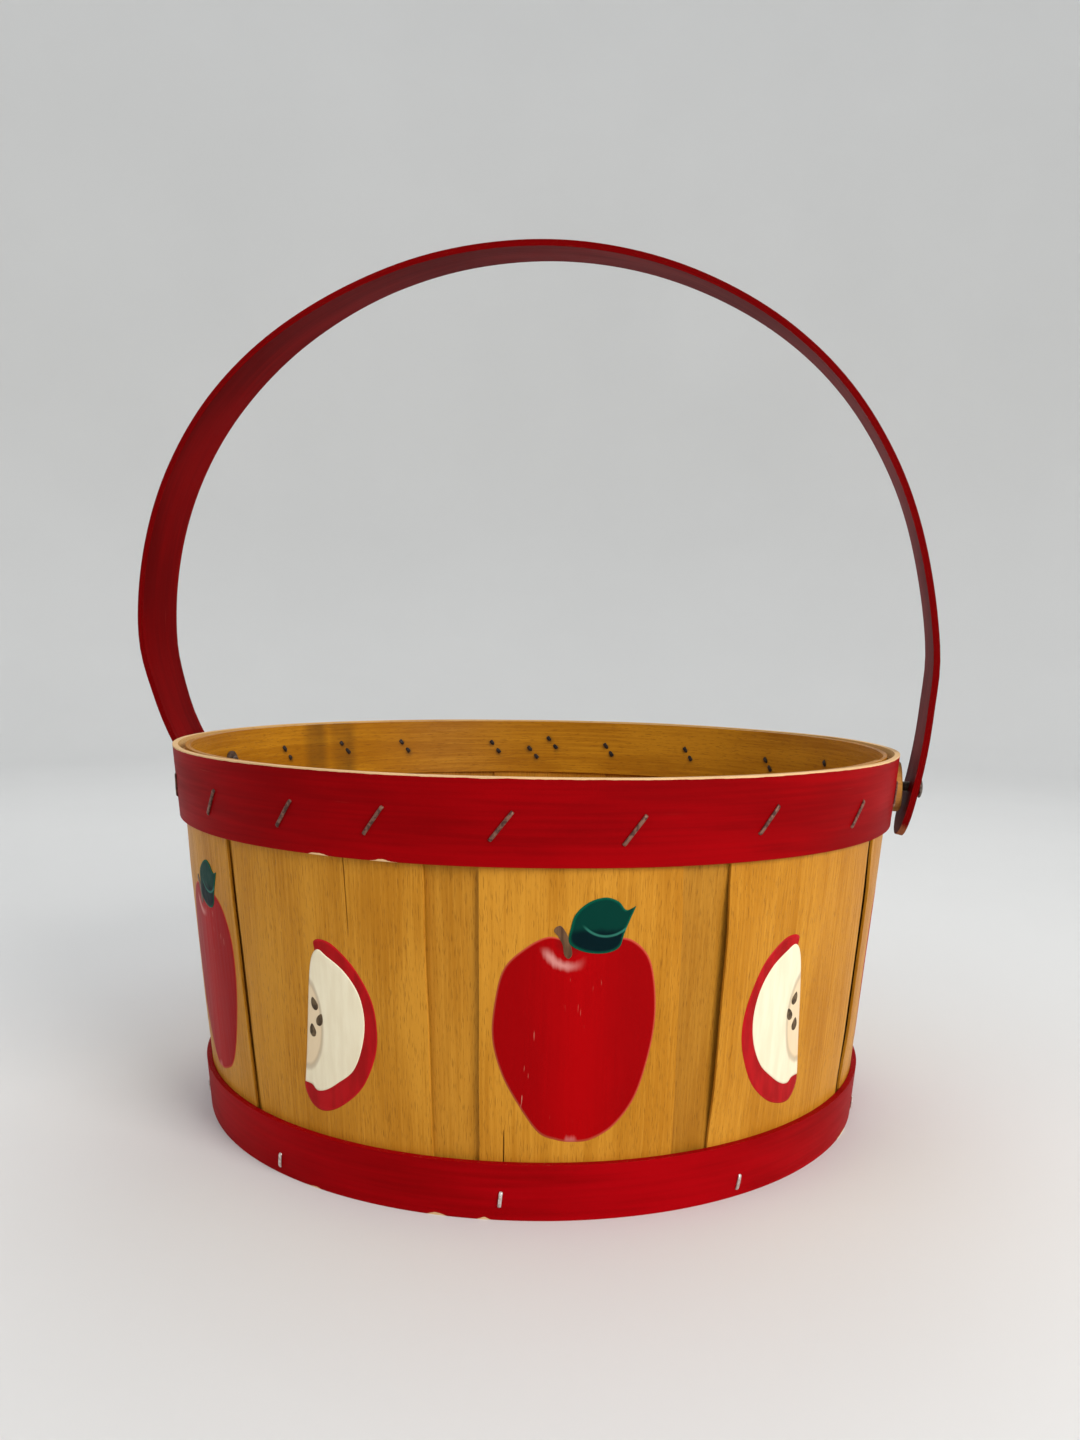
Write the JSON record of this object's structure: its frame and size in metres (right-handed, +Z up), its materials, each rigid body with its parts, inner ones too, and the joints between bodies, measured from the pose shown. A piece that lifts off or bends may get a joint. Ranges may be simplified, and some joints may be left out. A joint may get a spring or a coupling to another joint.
{
  "type": "round wooden stave basket with swing handle",
  "caption": "Round tapered basket of thin bent wood staves held by hoops, with a solid wood bottom and a flat bow handle that swings on riveted pivots.",
  "frame": {"origin": "centre of the basket's footprint, on the surface that it stands on", "axes": "+Z up along the basket's axis; X along the handle's pivot axis; -Y is the front, and at rest the bow leans 4.5 degrees to the front from the XZ plane"},
  "size_m": [0.341, 0.304, 0.3536],
  "materials": {
    "varnished_wood": "satin amber varnish",
    "bare_wood": "matt bare wood",
    "red_paint": "satin red paint on wood",
    "steel": "dull, slightly rusty steel"
  },
  "bodies": {
    "basket": {"bottom_disc": "bare_wood", "top_outer_hoop": "red_paint", "top_inner_hoop": "varnished_wood", "bottom_hoop": "red_paint", "outer_stave_01": "varnished_wood", "outer_stave_02": "varnished_wood", "outer_stave_03": "varnished_wood", "outer_stave_04": "varnished_wood", "outer_stave_05": "varnished_wood", "outer_stave_06": "varnished_wood", "outer_stave_07": "varnished_wood", "outer_stave_08": "varnished_wood", "outer_stave_09": "varnished_wood", "outer_stave_10": "varnished_wood", "inner_stave_01": "varnished_wood", "inner_stave_02": "varnished_wood", "inner_stave_03": "varnished_wood", "inner_stave_04": "varnished_wood", "inner_stave_05": "varnished_wood", "inner_stave_06": "varnished_wood", "inner_stave_07": "varnished_wood", "inner_stave_08": "varnished_wood", "inner_stave_09": "varnished_wood", "inner_stave_10": "varnished_wood", "right_rivet": "steel", "right_spacer": "bare_wood", "right_washer": "steel", "left_rivet": "steel", "left_spacer": "bare_wood", "left_washer": "steel", "rim_staples": "steel", "base_staples": "steel"},
    "handle": {"handle_bow": "red_paint"}
  },
  "joints": [
    {"name": "handle_swing", "type": "hinge", "parent": "basket", "child": "handle", "pos_m": [0, 0, 0.133], "axis": [1, 0, 0], "range_deg": [-124.5, 115.5]}
  ]
}
